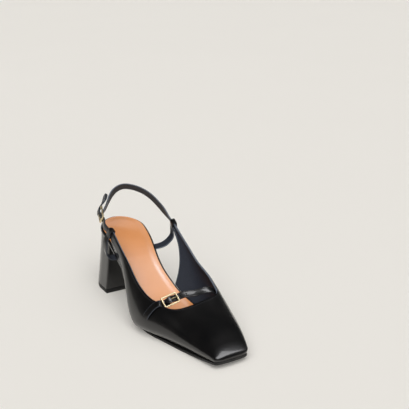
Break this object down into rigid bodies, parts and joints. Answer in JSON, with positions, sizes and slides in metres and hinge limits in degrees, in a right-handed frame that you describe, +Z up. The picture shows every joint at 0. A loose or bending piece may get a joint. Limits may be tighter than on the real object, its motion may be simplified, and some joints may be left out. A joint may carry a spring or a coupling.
{
  "type": "slingback pump",
  "caption": "Black polished leather slingback pump for the right foot, with a square toe, flared block heel, instep strap and pale gold buckles.",
  "frame": {"origin": "middle of the heel tip's underside, on the floor", "axes": "toe toward -Y, the foot's outer side toward -X, its inner side toward +X, +Z up"},
  "size_m": [0.0863, 0.2472, 0.106],
  "materials": {
    "leather": "polished",
    "sock": "satin",
    "sole": "satin",
    "heel": "gloss",
    "tip": "matt",
    "gold": "polished"
  },
  "bodies": {
    "root": {"upper": "leather", "insole_board": "leather", "sock_lining": "sock", "outsole": "sole", "heel_block": "heel", "heel_tip": "tip", "heel_strap_lateral": "leather", "heel_strap_medial": "leather", "sling_strap": "leather", "buckle_strap": "leather", "sling_buckle": "gold", "instep_strap": "leather", "instep_side_strap": "leather", "instep_buckle": "gold"}
  },
  "joints": []
}
